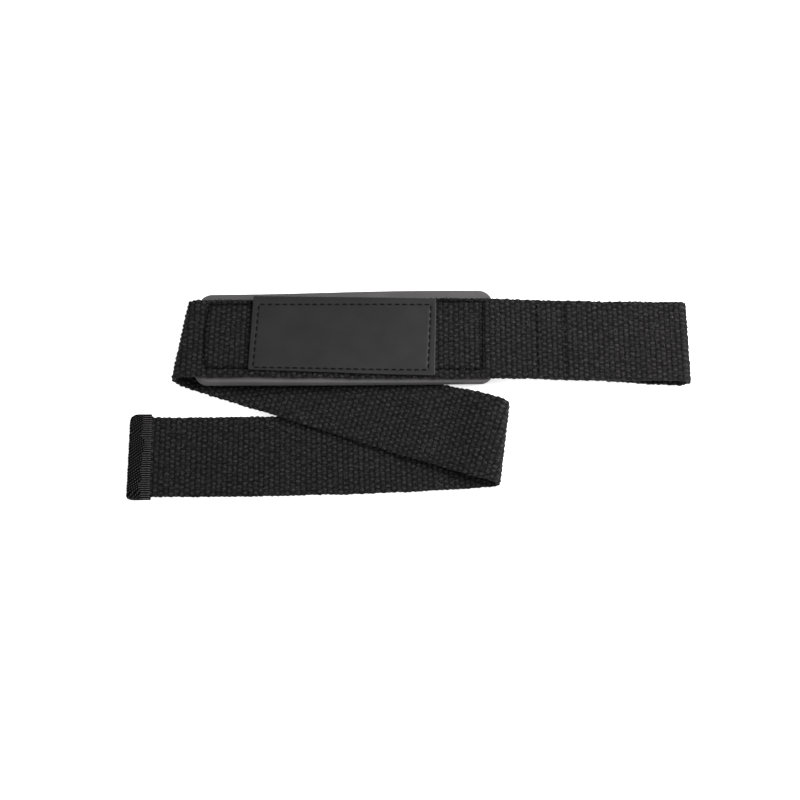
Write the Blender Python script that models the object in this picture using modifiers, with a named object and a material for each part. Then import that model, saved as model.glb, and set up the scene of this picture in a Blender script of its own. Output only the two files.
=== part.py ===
"""Padded weightlifting strap, lying flat and folded into a Z.

One cotton strap carries everything.  From its sewn hand loop it runs to the
left over a foam wrist pad, turns under at the left fold, runs slantwise back
to the right fold, turns under again and ends at a bound tip on the left.

The strap is described once, as a flat pattern: u runs along it from the loop's
tip, v runs across it and w is the height off its middle surface.  lay() carries
a pattern point through the folds into space, and every piece is built with it.
Metres, +Z up, the floor at z = 0, the origin under the middle of the part.
"""
from math import cos, pi, radians, sin, tan

import bmesh
import bpy
import numpy as np

# Strap webbing
WEB_WIDTH = 0.0386
WEB_THICK = 0.0026
CLEARANCE = 0.0003

# Lengths of the strap's runs, each measured on its centre line
TOP_RUN = 0.2266
DIAGONAL_RUN = 0.1469
BOTTOM_RUN = 0.1683

# Hand loop: the strap's end folded back under the top run
LOOP_LENGTH = 0.0660
LOOP_SLOT = 0.0045
LOOP_SEAM = 0.0130
LOOP_SIDESTEP = 0.0010

# Left fold, from the top run down to the slanting run; it bulges at its far end
LEFT_LEAN = radians(8.85)
LEFT_ROLL = radians(7.4)
LEFT_LIFT = 0.0026
LEFT_BULGE = 0.0020

# Right fold, from the slanting run down to the bottom run
RIGHT_LEAN = radians(10.69)
RIGHT_HEIGHT = 0.0108
RIGHT_SLOPE = radians(1.7)
RIGHT_LIFT = 0.0012
RIGHT_SWELL = 0.0270

# Sideways bend of the bottom run, and small turns of the top run
BOTTOM_BEND = radians(3.1)
BOTTOM_BEND_LENGTH = 0.1150
TOP_TURN = radians(0.12)
TAIL_TURN = radians(-0.5)
TAIL_TURN_LENGTH = 0.0330

# Foam wrist pad under the top run
PAD_LENGTH = 0.1389
PAD_WIDTH = 0.0454
PAD_THICK = 0.0050
PAD_CORNER = 0.0066
PAD_INSET = 0.0006
PAD_OFFSET = 0.0014
PAD_TURN = radians(-0.35)
PAD_EDGE = 0.0008
PAD_FRONT_REST = 0.0018

# Stitched label on the top run
LABEL_LENGTH = 0.0855
LABEL_WIDTH = 0.0374
LABEL_THICK = 0.0012
LABEL_CORNER = 0.0008
LABEL_START = 0.1144
LABEL_OFFSET = 0.0008
LABEL_TURN = radians(1.3)

# Binding tape wrapped over the strap's free end
TAPE_LENGTH = 0.0101
TAPE_SKEW = radians(0.6)
TAPE_THICK = 0.0007
TAPE_OVERHANG = 0.0012

# Mesh density
RUN_STEP = 0.0045
BEND_STEP = 0.0012
PATCH_STEP = 0.0058
STEPS_ACROSS = 8
CORNER_ANGLES = (0, 15, 30, 50, 70, 90)
NOSE_ANGLES = (30, 60)

# Half the distance over which the strap's slope is measured
SLOPE_STEP = 0.00013

# How wide the webbing is along the strap, as a share of WEB_WIDTH.
# Columns: run that the row is on, share of that run's length, share of the width.
WIDTH_ROWS = (
    ("top", 0.00, 0.985),
    ("top", 0.60, 1.000),
    ("top", 0.95, 1.000),
    ("diagonal", 0.20, 0.978),
    ("diagonal", 0.80, 0.978),
    ("bottom", 0.20, 0.958),
    ("bottom", 1.00, 0.958),
)

# Where each run eases from one height to the next, as shares of the run named.
# Columns: what eases, run, share where it starts, share where it ends.
EASE_ROWS = {
    "tail drop": ("top", 0.533, 0.860),
    "roll": ("top", 0.000, 0.552),
    "left lift": ("diagonal", 0.000, 0.210),
    "right lift": ("bottom", 0.000, 0.160),
    "tape rise": ("bottom", 0.810, 0.900),
    "loop slot": ("loop", 0.120, 0.720),
}


def smooth(share):
    """Ease from 0 to 1 with no kink at either end."""
    t = np.clip(share, 0.0, 1.0)
    return t * t * t * (t * (6.0 * t - 15.0) + 10.0)


def heading(angle):
    """Unit vector in plan at an angle from +X."""
    return np.array([cos(angle), sin(angle)])


def ease(name, distance):
    """Share of the named ease that is done at a distance along its run."""
    run, start, end = EASE_ROWS[name]
    length = RUN_LENGTH[run]
    return smooth((distance - start * length) / ((end - start) * length))


RUN_LENGTH = {
    "top": TOP_RUN,
    "diagonal": DIAGONAL_RUN,
    "bottom": BOTTOM_RUN,
    "loop": LOOP_LENGTH,
}
HALF_WIDTH = WEB_WIDTH / 2
HALF_THICK = WEB_THICK / 2
LAYER = WEB_THICK + CLEARANCE

# Middle surface of the strap above the floor, where it matters
PAD_FAR_SIDE = PAD_WIDTH / 2 + PAD_OFFSET
ON_PAD = PAD_THICK + CLEARANCE + HALF_THICK
TOP_AT_LEFT = LAYER + PAD_FAR_SIDE * sin(LEFT_ROLL) + ON_PAD - CLEARANCE
TOP_AT_RIGHT = LAYER + PAD_FRONT_REST + ON_PAD
TOP_AT_TIP = WEB_THICK + LOOP_SLOT + HALF_THICK
RIGHT_TOP = RIGHT_HEIGHT - HALF_THICK
RIGHT_LOW = HALF_THICK + RIGHT_LIFT

# Where the slanting run comes down beyond the far edge of the bottom run
EDGE_GAP = 0.5 * LAYER
EDGE_SLOPE = 5.5 * LAYER

# Left fold line: through the origin of the plan, square to left_out
LEFT_OUT = heading(pi - LEFT_LEAN)
LEFT_SIDE = heading(pi / 2 - LEFT_LEAN)
LEFT_ARC = pi * (TOP_AT_LEFT - HALF_THICK) / 2

# Slanting run and right fold line
DIAGONAL_ANGLE = -2 * LEFT_LEAN
DIAGONAL_START = -LEFT_ARC * tan(LEFT_LEAN) * LEFT_SIDE
RIGHT_POINT = DIAGONAL_START + DIAGONAL_RUN * heading(DIAGONAL_ANGLE)
RIGHT_OUT = heading(DIAGONAL_ANGLE + RIGHT_LEAN)
RIGHT_SIDE = heading(DIAGONAL_ANGLE + RIGHT_LEAN + pi / 2)
RIGHT_ARC = pi * (RIGHT_TOP - RIGHT_LOW) / 2

# Bottom run, which heads left
BOTTOM_ANGLE = DIAGONAL_ANGLE + 2 * RIGHT_LEAN
BOTTOM_START = RIGHT_POINT - RIGHT_ARC * tan(RIGHT_LEAN) * RIGHT_SIDE
LOOP_RADIUS = (WEB_THICK + LOOP_SLOT) / 2
LOOP_ARC = pi * LOOP_RADIUS

U_LEFT = TOP_RUN
U_DIAGONAL = U_LEFT + LEFT_ARC
U_RIGHT = U_DIAGONAL + DIAGONAL_RUN
U_BOTTOM = U_RIGHT + RIGHT_ARC
U_END = U_BOTTOM + BOTTOM_RUN
U_START = -LOOP_ARC - LOOP_LENGTH
RUN_START = {"top": 0.0, "diagonal": U_DIAGONAL, "bottom": U_BOTTOM}


def width_share(u):
    """Width of the webbing at u, as a share of WEB_WIDTH."""
    stations = [RUN_START[run] + share * RUN_LENGTH[run] for run, share, _ in WIDTH_ROWS]
    return np.interp(u, stations, [row[2] for row in WIDTH_ROWS])


def roll_at(x):
    """Roll of the top run about its own length: near edge up at the left fold."""
    return LEFT_ROLL * (1.0 - ease("roll", x))


def top_height(x, v):
    """Height of the top run: rolled at the left, on the pad, then down to the floor."""
    on_pad = TOP_AT_LEFT + (TOP_AT_RIGHT - TOP_AT_LEFT) * x / PAD_LENGTH
    drop = ease("tail drop", x)
    return on_pad * (1.0 - drop) + TOP_AT_TIP * drop - v * np.sin(roll_at(x))


def left_foot(q, s):
    """Height of the slanting run by the left fold, where its near edge lifts."""
    near = np.maximum(0.5 - q / WEB_WIDTH, 0.0)
    return HALF_THICK + LEFT_LIFT * near * (1.0 - ease("left lift", s))


def bottom_bow(distance):
    """Sideways drift of the bottom run after its gentle bend."""
    bent = np.minimum(distance, BOTTOM_BEND_LENGTH)
    return tan(BOTTOM_BEND) * (distance - bent + bent * bent / (2 * BOTTOM_BEND_LENGTH))


def over_bottom(plan):
    """1 where the slanting run lies on the bottom run, easing to 0 beyond its far edge."""
    along = -(plan - BOTTOM_START) @ heading(BOTTOM_ANGLE)
    across = (plan - BOTTOM_START) @ heading(BOTTOM_ANGLE + pi / 2)
    across = across - bottom_bow(np.maximum(along, 0.0))
    return smooth((HALF_WIDTH + EDGE_GAP + EDGE_SLOPE - across) / EDGE_SLOPE)


def right_top(q):
    """Height of the upper side of the right fold, which is taller at its far end."""
    return RIGHT_TOP + tan(RIGHT_SLOPE) * q


def diagonal_height(plan, s_left, q_left, s_right, q_right):
    """Height of the slanting run: floor, bottom run, then up into the right fold."""
    lift = RIGHT_LIFT * smooth((s_right + 2 * RIGHT_SWELL) / RIGHT_SWELL)
    lying = left_foot(q_left, s_left) + (LAYER + lift) * over_bottom(plan)
    swell = smooth((s_right + RIGHT_SWELL) / RIGHT_SWELL)
    return lying + (right_top(q_right) - lying) * swell


def bottom_height(s):
    """Height of the bottom run: lifted at the fold, on the floor, up on the tape."""
    lift = RIGHT_LIFT * (1.0 - ease("right lift", s))
    return HALF_THICK + lift + (TAPE_THICK + CLEARANCE) * ease("tape rise", s)


def put(points, where, x, y, z):
    """Write x, y and z into the points that the mask picks."""
    for axis, value in enumerate((x, y, z)):
        points[..., axis] = np.where(where, value, points[..., axis])


def middle(u, v):
    """Middle surface of the strap at pattern point (u, v)."""
    u, v = np.broadcast_arrays(np.asarray(u, float), np.asarray(v, float))
    v = v * width_share(u)
    points = np.zeros(u.shape + (3,))

    # Top run
    x = TOP_RUN - u
    put(points, u >= 0, x, v * np.cos(roll_at(x)), top_height(x, v))

    # Left fold: half a turn about a line that leans across the strap
    plan = np.stack([x, v], -1)
    s_left = plan @ LEFT_OUT
    q_left = plan @ LEFT_SIDE
    line = q_left[..., None] * LEFT_SIDE
    share = np.clip(s_left / LEFT_ARC, 0.0, 1.0)
    foot = left_foot(q_left, 0.0)
    radius = (top_height(line[..., 0], line[..., 1]) - foot) / 2
    rolled = line[..., 1] * (cos(LEFT_ROLL) * (1.0 - share) + share)
    bulge = radius + LEFT_BULGE * (0.5 + q_left / WEB_WIDTH)
    out = bulge * np.sin(pi * share)
    put(points, s_left > 0, line[..., 0] + out * LEFT_OUT[0], rolled + out * LEFT_OUT[1],
        foot + radius * (1.0 + np.cos(pi * share)))

    # Slanting run
    past_left = s_left - LEFT_ARC
    plan = line - past_left[..., None] * LEFT_OUT
    s_right = (plan - RIGHT_POINT) @ RIGHT_OUT
    q_right = (plan - RIGHT_POINT) @ RIGHT_SIDE
    height = diagonal_height(plan, past_left, q_left, np.minimum(s_right, 0.0), q_right)
    put(points, past_left > 0, plan[..., 0], plan[..., 1], height)

    # Right fold
    line = RIGHT_POINT + q_right[..., None] * RIGHT_SIDE
    share = np.clip(s_right / RIGHT_ARC, 0.0, 1.0)
    radius = (right_top(q_right) - RIGHT_LOW) / 2
    out = radius * np.sin(pi * share)
    turned = (past_left > 0) & (s_right > 0)
    put(points, turned, line[..., 0] + out * RIGHT_OUT[0], line[..., 1] + out * RIGHT_OUT[1],
        RIGHT_LOW + radius * (1.0 + np.cos(pi * share)))

    # Bottom run
    past_right = s_right - RIGHT_ARC
    bend = tan(BOTTOM_BEND) * np.clip(past_right / BOTTOM_BEND_LENGTH, 0.0, 1.0)
    plan = line + (bend * v - past_right)[..., None] * RIGHT_OUT
    bow = bottom_bow(np.maximum(past_right, 0.0))
    under = (past_left > 0) & (past_right > 0)
    put(points, under, plan[..., 0], plan[..., 1] + bow, bottom_height(past_right))

    # Tip of the hand loop, and the layer that is folded back under the top run
    share = np.clip(-u / LOOP_ARC, 0.0, 1.0)
    tip = top_height(TOP_RUN, v)
    put(points, u < 0, TOP_RUN + LOOP_RADIUS * np.sin(pi * share), v,
        tip - LOOP_RADIUS * (1.0 - np.cos(pi * share)))
    back = -u - LOOP_ARC
    x = TOP_RUN - back
    slot = CLEARANCE + (LOOP_SLOT - CLEARANCE) * (1.0 - ease("loop slot", back))
    aside = LOOP_SIDESTEP * smooth(back / (LOOP_LENGTH - LOOP_SEAM))
    put(points, back > 0, x, v + aside, top_height(x, v) - WEB_THICK - slot)

    # Small turns of the whole top run and of its tail
    on_top = u < U_LEFT
    beyond_pad = np.maximum(points[..., 0] - PAD_LENGTH, 0.0)
    turn = tan(TOP_TURN) * np.maximum(points[..., 0], 0.0)
    turn = turn + tan(TAIL_TURN) * beyond_pad * np.minimum(beyond_pad / TAIL_TURN_LENGTH, 1.0)
    points[..., 1] += np.where(on_top, turn, 0.0)
    return points


def lay(u, v, w=0.0):
    """Carry a pattern point into space; w is positive on the label's side."""
    u, v, w = np.broadcast_arrays(np.asarray(u, float), np.asarray(v, float), w)
    along = middle(u + SLOPE_STEP, v) - middle(u - SLOPE_STEP, v)
    across = middle(u, v + SLOPE_STEP) - middle(u, v - SLOPE_STEP)
    normal = np.cross(across, along)
    normal /= np.linalg.norm(normal, axis=-1, keepdims=True)
    return middle(u, v) + w[..., None] * normal


def stations(start, end, step):
    """Evenly spaced values from start to end, no further apart than step."""
    return np.linspace(start, end, max(2, int(np.ceil((end - start) / step)) + 1))


def strap_stations():
    """Values of u along the strap, close together in the folds."""
    left_skew = HALF_WIDTH * tan(LEFT_LEAN)
    right_skew = HALF_WIDTH * tan(RIGHT_LEAN)
    spans = (
        (U_START, -LOOP_ARC, RUN_STEP),
        (-LOOP_ARC, 0.0, BEND_STEP),
        (0.0, U_LEFT - left_skew, RUN_STEP),
        (U_LEFT - left_skew, U_DIAGONAL + left_skew, BEND_STEP),
        (U_DIAGONAL + left_skew, U_RIGHT - right_skew, RUN_STEP),
        (U_RIGHT - right_skew, U_BOTTOM + right_skew, BEND_STEP),
        (U_BOTTOM + right_skew, U_END, RUN_STEP),
    )
    return np.unique(np.round(np.concatenate([stations(*span) for span in spans]), 7))


def material(name, colour, roughness):
    """Plain Principled material."""
    made = bpy.data.materials.new(name)
    made.use_nodes = True
    shader = made.node_tree.nodes["Principled BSDF"]
    shader.inputs["Base Color"].default_value = (*colour, 1.0)
    shader.inputs["Roughness"].default_value = roughness
    shader.inputs["Metallic"].default_value = 0.0
    return made


def sheet_object(name, points, made, collection):
    """Open surface over a grid of points, rows along the strap."""
    rows, columns = points.shape[:2]
    surface = bmesh.new()
    verts = [surface.verts.new(point) for point in points.reshape(-1, 3)]
    for i in range(rows - 1):
        for j in range(columns - 1):
            first = i * columns + j
            corners = (first, first + 1, first + columns + 1, first + columns)
            surface.faces.new([verts[k] for k in corners])
    mesh = bpy.data.meshes.new(name)
    surface.to_mesh(mesh)
    surface.free()
    mesh.materials.append(made)
    piece = bpy.data.objects.new(name, mesh)
    collection.objects.link(piece)
    return piece


def thicken(piece, thickness, offset):
    """Solidify: offset 0 is both sides, 1 is the side of w, -1 is the other."""
    wall = piece.modifiers.new("Thickness", "SOLIDIFY")
    wall.thickness = thickness
    wall.offset = offset
    wall.use_even_offset = True


def round_rim(piece, width):
    """Round the rim of a thick sheet."""
    rim = piece.modifiers.new("Rounded rim", "BEVEL")
    rim.width = width
    rim.segments = 2
    rim.limit_method = "ANGLE"
    rim.angle_limit = radians(50)


def patch_points(middle_u, middle_v, length, width, corner, turn, w, step):
    """Rounded rectangle on the strap's pattern, turned in it, carried into space."""
    corner_steps = [corner * (1.0 - cos(radians(angle))) for angle in CORNER_ANGLES]
    half = length / 2
    inner = stations(-half + corner, half - corner, step)
    ends = np.array(corner_steps[:-1])
    along = np.concatenate([-half + ends, inner, (half - ends)[::-1]])
    past = np.maximum(np.abs(along) - (half - corner), 0.0)
    reach = width / 2 - corner + np.sqrt(np.maximum(corner ** 2 - past ** 2, 0.0))
    across = np.linspace(-1.0, 1.0, STEPS_ACROSS + 1)[None, :] * reach[:, None]
    along = np.repeat(along[:, None], STEPS_ACROSS + 1, 1)
    u = middle_u + along * cos(turn) - across * sin(turn)
    v = middle_v + along * sin(turn) + across * cos(turn)
    return lay(u, v, w)


def build_webbing(collection):
    """The whole strap as one cotton band."""
    u = strap_stations()
    v = np.linspace(-HALF_WIDTH, HALF_WIDTH, STEPS_ACROSS + 1)
    cotton = material("black cotton webbing", (0.020, 0.018, 0.019), 0.95)
    band = sheet_object("webbing", lay(u[:, None], v[None, :]), cotton, collection)
    thicken(band, WEB_THICK, 0.0)
    return band


def build_pad(collection):
    """Foam pad sewn under the top run, behind the label."""
    foam = material("grey foam", (0.105, 0.100, 0.098), 0.80)
    middle_u = TOP_RUN - PAD_INSET - PAD_LENGTH / 2
    points = patch_points(middle_u, PAD_OFFSET, PAD_LENGTH, PAD_WIDTH, PAD_CORNER,
                          PAD_TURN, -HALF_THICK - CLEARANCE, PATCH_STEP)
    pad = sheet_object("wrist_pad", points, foam, collection)
    thicken(pad, PAD_THICK, -1.0)
    round_rim(pad, PAD_EDGE)
    return pad


def build_label(collection):
    """Bare patch stitched on the top run."""
    rubber = material("black label", (0.038, 0.035, 0.036), 0.45)
    middle_u = LABEL_START + LABEL_LENGTH / 2
    points = patch_points(middle_u, LABEL_OFFSET, LABEL_LENGTH, LABEL_WIDTH, LABEL_CORNER,
                          LABEL_TURN, HALF_THICK + CLEARANCE, PATCH_STEP)
    label = sheet_object("label_patch", points, rubber, collection)
    thicken(label, LABEL_THICK, 1.0)
    return label


def build_tape(collection):
    """Binding tape wrapped over the free end, on both faces and round the end."""
    inner = HALF_THICK + CLEARANCE
    nose = inner / 2
    end = U_END + CLEARANCE
    straight = stations(end - TAPE_LENGTH, end - nose, RUN_STEP / 2)
    turn = [radians(angle) for angle in NOSE_ANGLES]
    over = [(u, inner) for u in straight]
    over += [(end - nose * (1.0 - sin(a)), nose * (1.0 + cos(a))) for a in turn]
    over.append((end, nose))
    path = over + [(u, -w) for u, w in reversed(over)]
    reach = HALF_WIDTH + TAPE_OVERHANG / width_share(U_END)
    v = np.linspace(-reach, reach, STEPS_ACROSS + 1)[None, :]
    u = np.array([point[0] for point in path])[:, None]
    w = np.array([point[1] for point in path])[:, None]
    u = u + v * tan(TAPE_SKEW) * (end - u) / TAPE_LENGTH
    cloth = material("black binding tape", (0.014, 0.012, 0.013), 0.85)
    tape = sheet_object("end_binding", lay(u, v, w), cloth, collection)
    thicken(tape, TAPE_THICK, 1.0)
    return tape


def stand_on_origin(pieces):
    """Move the pieces together so that the origin is under the middle of their box."""
    bpy.context.view_layer.update()
    depsgraph = bpy.context.evaluated_depsgraph_get()
    corners = []
    for piece in pieces:
        mesh = piece.evaluated_get(depsgraph).to_mesh()
        points = np.array([vertex.co for vertex in mesh.vertices])
        corners += [points.min(axis=0), points.max(axis=0)]
    low, high = np.min(corners, axis=0), np.max(corners, axis=0)
    for piece in pieces:
        piece.location = (-(low[0] + high[0]) / 2, -(low[1] + high[1]) / 2, -low[2])


def main():
    for old in list(bpy.data.objects):
        bpy.data.objects.remove(old, do_unlink=True)
    collection = bpy.data.collections.new("weightlifting_strap")
    bpy.context.scene.collection.children.link(collection)
    pieces = [
        build_webbing(collection),
        build_pad(collection),
        build_label(collection),
        build_tape(collection),
    ]
    stand_on_origin(pieces)


main()
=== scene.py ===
"""Weightlifting strap as it looks: woven cotton, foam pad, bare label, bound tip.

The strap is one flat pattern folded into a Z.  u runs along it from the hand
loop's tip, v runs across it and w is the height off its middle surface.  lay()
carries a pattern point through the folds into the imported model's space, and
every piece of cloth, thread, foam and rubber here is built on it.
"""
from math import cos, pi, radians, sin, tan

import bpy
import numpy as np
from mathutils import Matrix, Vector


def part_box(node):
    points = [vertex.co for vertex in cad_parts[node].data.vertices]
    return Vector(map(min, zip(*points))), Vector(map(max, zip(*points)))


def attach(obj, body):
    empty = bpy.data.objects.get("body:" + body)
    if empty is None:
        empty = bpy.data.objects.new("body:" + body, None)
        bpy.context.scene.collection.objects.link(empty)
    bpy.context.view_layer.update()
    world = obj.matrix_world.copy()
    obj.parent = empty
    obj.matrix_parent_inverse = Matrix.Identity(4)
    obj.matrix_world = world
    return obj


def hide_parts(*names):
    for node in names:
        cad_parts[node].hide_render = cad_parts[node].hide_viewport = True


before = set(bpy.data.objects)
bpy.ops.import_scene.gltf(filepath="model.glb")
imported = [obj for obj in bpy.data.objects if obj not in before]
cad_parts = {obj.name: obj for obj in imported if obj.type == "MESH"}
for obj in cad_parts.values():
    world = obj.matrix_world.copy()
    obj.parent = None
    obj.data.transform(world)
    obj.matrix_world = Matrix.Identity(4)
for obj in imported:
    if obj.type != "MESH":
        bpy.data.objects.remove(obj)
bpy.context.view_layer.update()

# Strap webbing
WEB_WIDTH = 0.0386
WEB_THICK = 0.0026
CLEARANCE = 0.0003

# Lengths of the strap's runs, each measured on its centre line
TOP_RUN = 0.2266
DIAGONAL_RUN = 0.1469
BOTTOM_RUN = 0.1683

# Hand loop: the strap's end folded back under the top run
LOOP_LENGTH = 0.0660
LOOP_SLOT = 0.0045
LOOP_SEAM = 0.0130
LOOP_SIDESTEP = 0.0010

# Left fold, from the top run down to the slanting run; it bulges at its far end
LEFT_LEAN = radians(8.85)
LEFT_ROLL = radians(7.4)
LEFT_LIFT = 0.0026
LEFT_BULGE = 0.0020

# Right fold, from the slanting run down to the bottom run
RIGHT_LEAN = radians(10.69)
RIGHT_HEIGHT = 0.0108
RIGHT_SLOPE = radians(1.7)
RIGHT_LIFT = 0.0012
RIGHT_SWELL = 0.0270

# Sideways bend of the bottom run, and small turns of the top run
BOTTOM_BEND = radians(3.1)
BOTTOM_BEND_LENGTH = 0.1150
TOP_TURN = radians(0.12)
TAIL_TURN = radians(-0.5)
TAIL_TURN_LENGTH = 0.0330

# Foam wrist pad under the top run
PAD_LENGTH = 0.1389
PAD_WIDTH = 0.0454
PAD_THICK = 0.0050
PAD_CORNER = 0.0066
PAD_INSET = 0.0006
PAD_OFFSET = 0.0014
PAD_TURN = radians(-0.35)
PAD_FRONT_REST = 0.0018

# Stitched label on the top run
LABEL_LENGTH = 0.0855
LABEL_WIDTH = 0.0374
LABEL_THICK = 0.0012
LABEL_CORNER = 0.0008
LABEL_START = 0.1144
LABEL_OFFSET = 0.0008
LABEL_TURN = radians(1.3)

# Binding tape wrapped over the strap's free end
TAPE_LENGTH = 0.0101
TAPE_SKEW = radians(0.6)
TAPE_THICK = 0.0007
TAPE_OVERHANG = 0.0012

# Half the distance over which the strap's slope is measured
SLOPE_STEP = 0.00013

# How wide the webbing is along the strap, as a share of WEB_WIDTH.
# Columns: run that the row is on, share of that run's length, share of the width.
WIDTH_ROWS = (
    ("top", 0.00, 0.985),
    ("top", 0.60, 1.000),
    ("top", 0.95, 1.000),
    ("diagonal", 0.20, 0.978),
    ("diagonal", 0.80, 0.978),
    ("bottom", 0.20, 0.958),
    ("bottom", 1.00, 0.958),
)

# Where each run eases from one height to the next, as shares of the run named.
# Columns: what eases, run, share where it starts, share where it ends.
EASE_ROWS = {
    "tail drop": ("top", 0.533, 0.860),
    "roll": ("top", 0.000, 0.552),
    "left lift": ("diagonal", 0.000, 0.210),
    "right lift": ("bottom", 0.000, 0.160),
    "tape rise": ("bottom", 0.810, 0.900),
    "loop slot": ("loop", 0.120, 0.720),
}


def smooth(share):
    """Ease from 0 to 1 with no kink at either end."""
    t = np.clip(share, 0.0, 1.0)
    return t * t * t * (t * (6.0 * t - 15.0) + 10.0)


def heading(angle):
    """Unit vector in plan at an angle from +X."""
    return np.array([cos(angle), sin(angle)])


def ease(name, distance):
    """Share of the named ease that is done at a distance along its run."""
    run, start, end = EASE_ROWS[name]
    length = RUN_LENGTH[run]
    return smooth((distance - start * length) / ((end - start) * length))


RUN_LENGTH = {
    "top": TOP_RUN,
    "diagonal": DIAGONAL_RUN,
    "bottom": BOTTOM_RUN,
    "loop": LOOP_LENGTH,
}
HALF_WIDTH = WEB_WIDTH / 2
HALF_THICK = WEB_THICK / 2
LAYER = WEB_THICK + CLEARANCE

# Middle surface of the strap above the floor, where it matters
PAD_FAR_SIDE = PAD_WIDTH / 2 + PAD_OFFSET
ON_PAD = PAD_THICK + CLEARANCE + HALF_THICK
TOP_AT_LEFT = LAYER + PAD_FAR_SIDE * sin(LEFT_ROLL) + ON_PAD - CLEARANCE
TOP_AT_RIGHT = LAYER + PAD_FRONT_REST + ON_PAD
TOP_AT_TIP = WEB_THICK + LOOP_SLOT + HALF_THICK
RIGHT_TOP = RIGHT_HEIGHT - HALF_THICK
RIGHT_LOW = HALF_THICK + RIGHT_LIFT

# Where the slanting run comes down beyond the far edge of the bottom run
EDGE_GAP = 0.5 * LAYER
EDGE_SLOPE = 5.5 * LAYER

# Left fold line: through the origin of the plan, square to left_out
LEFT_OUT = heading(pi - LEFT_LEAN)
LEFT_SIDE = heading(pi / 2 - LEFT_LEAN)
LEFT_ARC = pi * (TOP_AT_LEFT - HALF_THICK) / 2

# Slanting run and right fold line
DIAGONAL_ANGLE = -2 * LEFT_LEAN
DIAGONAL_START = -LEFT_ARC * tan(LEFT_LEAN) * LEFT_SIDE
RIGHT_POINT = DIAGONAL_START + DIAGONAL_RUN * heading(DIAGONAL_ANGLE)
RIGHT_OUT = heading(DIAGONAL_ANGLE + RIGHT_LEAN)
RIGHT_SIDE = heading(DIAGONAL_ANGLE + RIGHT_LEAN + pi / 2)
RIGHT_ARC = pi * (RIGHT_TOP - RIGHT_LOW) / 2

# Bottom run, which heads left
BOTTOM_ANGLE = DIAGONAL_ANGLE + 2 * RIGHT_LEAN
BOTTOM_START = RIGHT_POINT - RIGHT_ARC * tan(RIGHT_LEAN) * RIGHT_SIDE
LOOP_RADIUS = (WEB_THICK + LOOP_SLOT) / 2
LOOP_ARC = pi * LOOP_RADIUS

U_LEFT = TOP_RUN
U_DIAGONAL = U_LEFT + LEFT_ARC
U_RIGHT = U_DIAGONAL + DIAGONAL_RUN
U_BOTTOM = U_RIGHT + RIGHT_ARC
U_END = U_BOTTOM + BOTTOM_RUN
U_START = -LOOP_ARC - LOOP_LENGTH
RUN_START = {"top": 0.0, "diagonal": U_DIAGONAL, "bottom": U_BOTTOM}


def width_share(u):
    """Width of the webbing at u, as a share of WEB_WIDTH."""
    stations = [RUN_START[run] + share * RUN_LENGTH[run] for run, share, _ in WIDTH_ROWS]
    return np.interp(u, stations, [row[2] for row in WIDTH_ROWS])


def roll_at(x):
    """Roll of the top run about its own length: near edge up at the left fold."""
    return LEFT_ROLL * (1.0 - ease("roll", x))


def top_height(x, v):
    """Height of the top run: rolled at the left, on the pad, then down to the floor."""
    on_pad = TOP_AT_LEFT + (TOP_AT_RIGHT - TOP_AT_LEFT) * x / PAD_LENGTH
    drop = ease("tail drop", x)
    return on_pad * (1.0 - drop) + TOP_AT_TIP * drop - v * np.sin(roll_at(x))


def left_foot(q, s):
    """Height of the slanting run by the left fold, where its near edge lifts."""
    near = np.maximum(0.5 - q / WEB_WIDTH, 0.0)
    return HALF_THICK + LEFT_LIFT * near * (1.0 - ease("left lift", s))


def bottom_bow(distance):
    """Sideways drift of the bottom run after its gentle bend."""
    bent = np.minimum(distance, BOTTOM_BEND_LENGTH)
    return tan(BOTTOM_BEND) * (distance - bent + bent * bent / (2 * BOTTOM_BEND_LENGTH))


def over_bottom(plan):
    """1 where the slanting run lies on the bottom run, easing to 0 beyond its far edge."""
    along = -(plan - BOTTOM_START) @ heading(BOTTOM_ANGLE)
    across = (plan - BOTTOM_START) @ heading(BOTTOM_ANGLE + pi / 2)
    across = across - bottom_bow(np.maximum(along, 0.0))
    return smooth((HALF_WIDTH + EDGE_GAP + EDGE_SLOPE - across) / EDGE_SLOPE)


def right_top(q):
    """Height of the upper side of the right fold, which is taller at its far end."""
    return RIGHT_TOP + tan(RIGHT_SLOPE) * q


def diagonal_height(plan, s_left, q_left, s_right, q_right):
    """Height of the slanting run: floor, bottom run, then up into the right fold."""
    lift = RIGHT_LIFT * smooth((s_right + 2 * RIGHT_SWELL) / RIGHT_SWELL)
    lying = left_foot(q_left, s_left) + (LAYER + lift) * over_bottom(plan)
    swell = smooth((s_right + RIGHT_SWELL) / RIGHT_SWELL)
    return lying + (right_top(q_right) - lying) * swell


def bottom_height(s):
    """Height of the bottom run: lifted at the fold, on the floor, up on the tape."""
    lift = RIGHT_LIFT * (1.0 - ease("right lift", s))
    return HALF_THICK + lift + (TAPE_THICK + CLEARANCE) * ease("tape rise", s)


def put(points, where, x, y, z):
    """Write x, y and z into the points that the mask picks."""
    for axis, value in enumerate((x, y, z)):
        points[..., axis] = np.where(where, value, points[..., axis])


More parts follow.
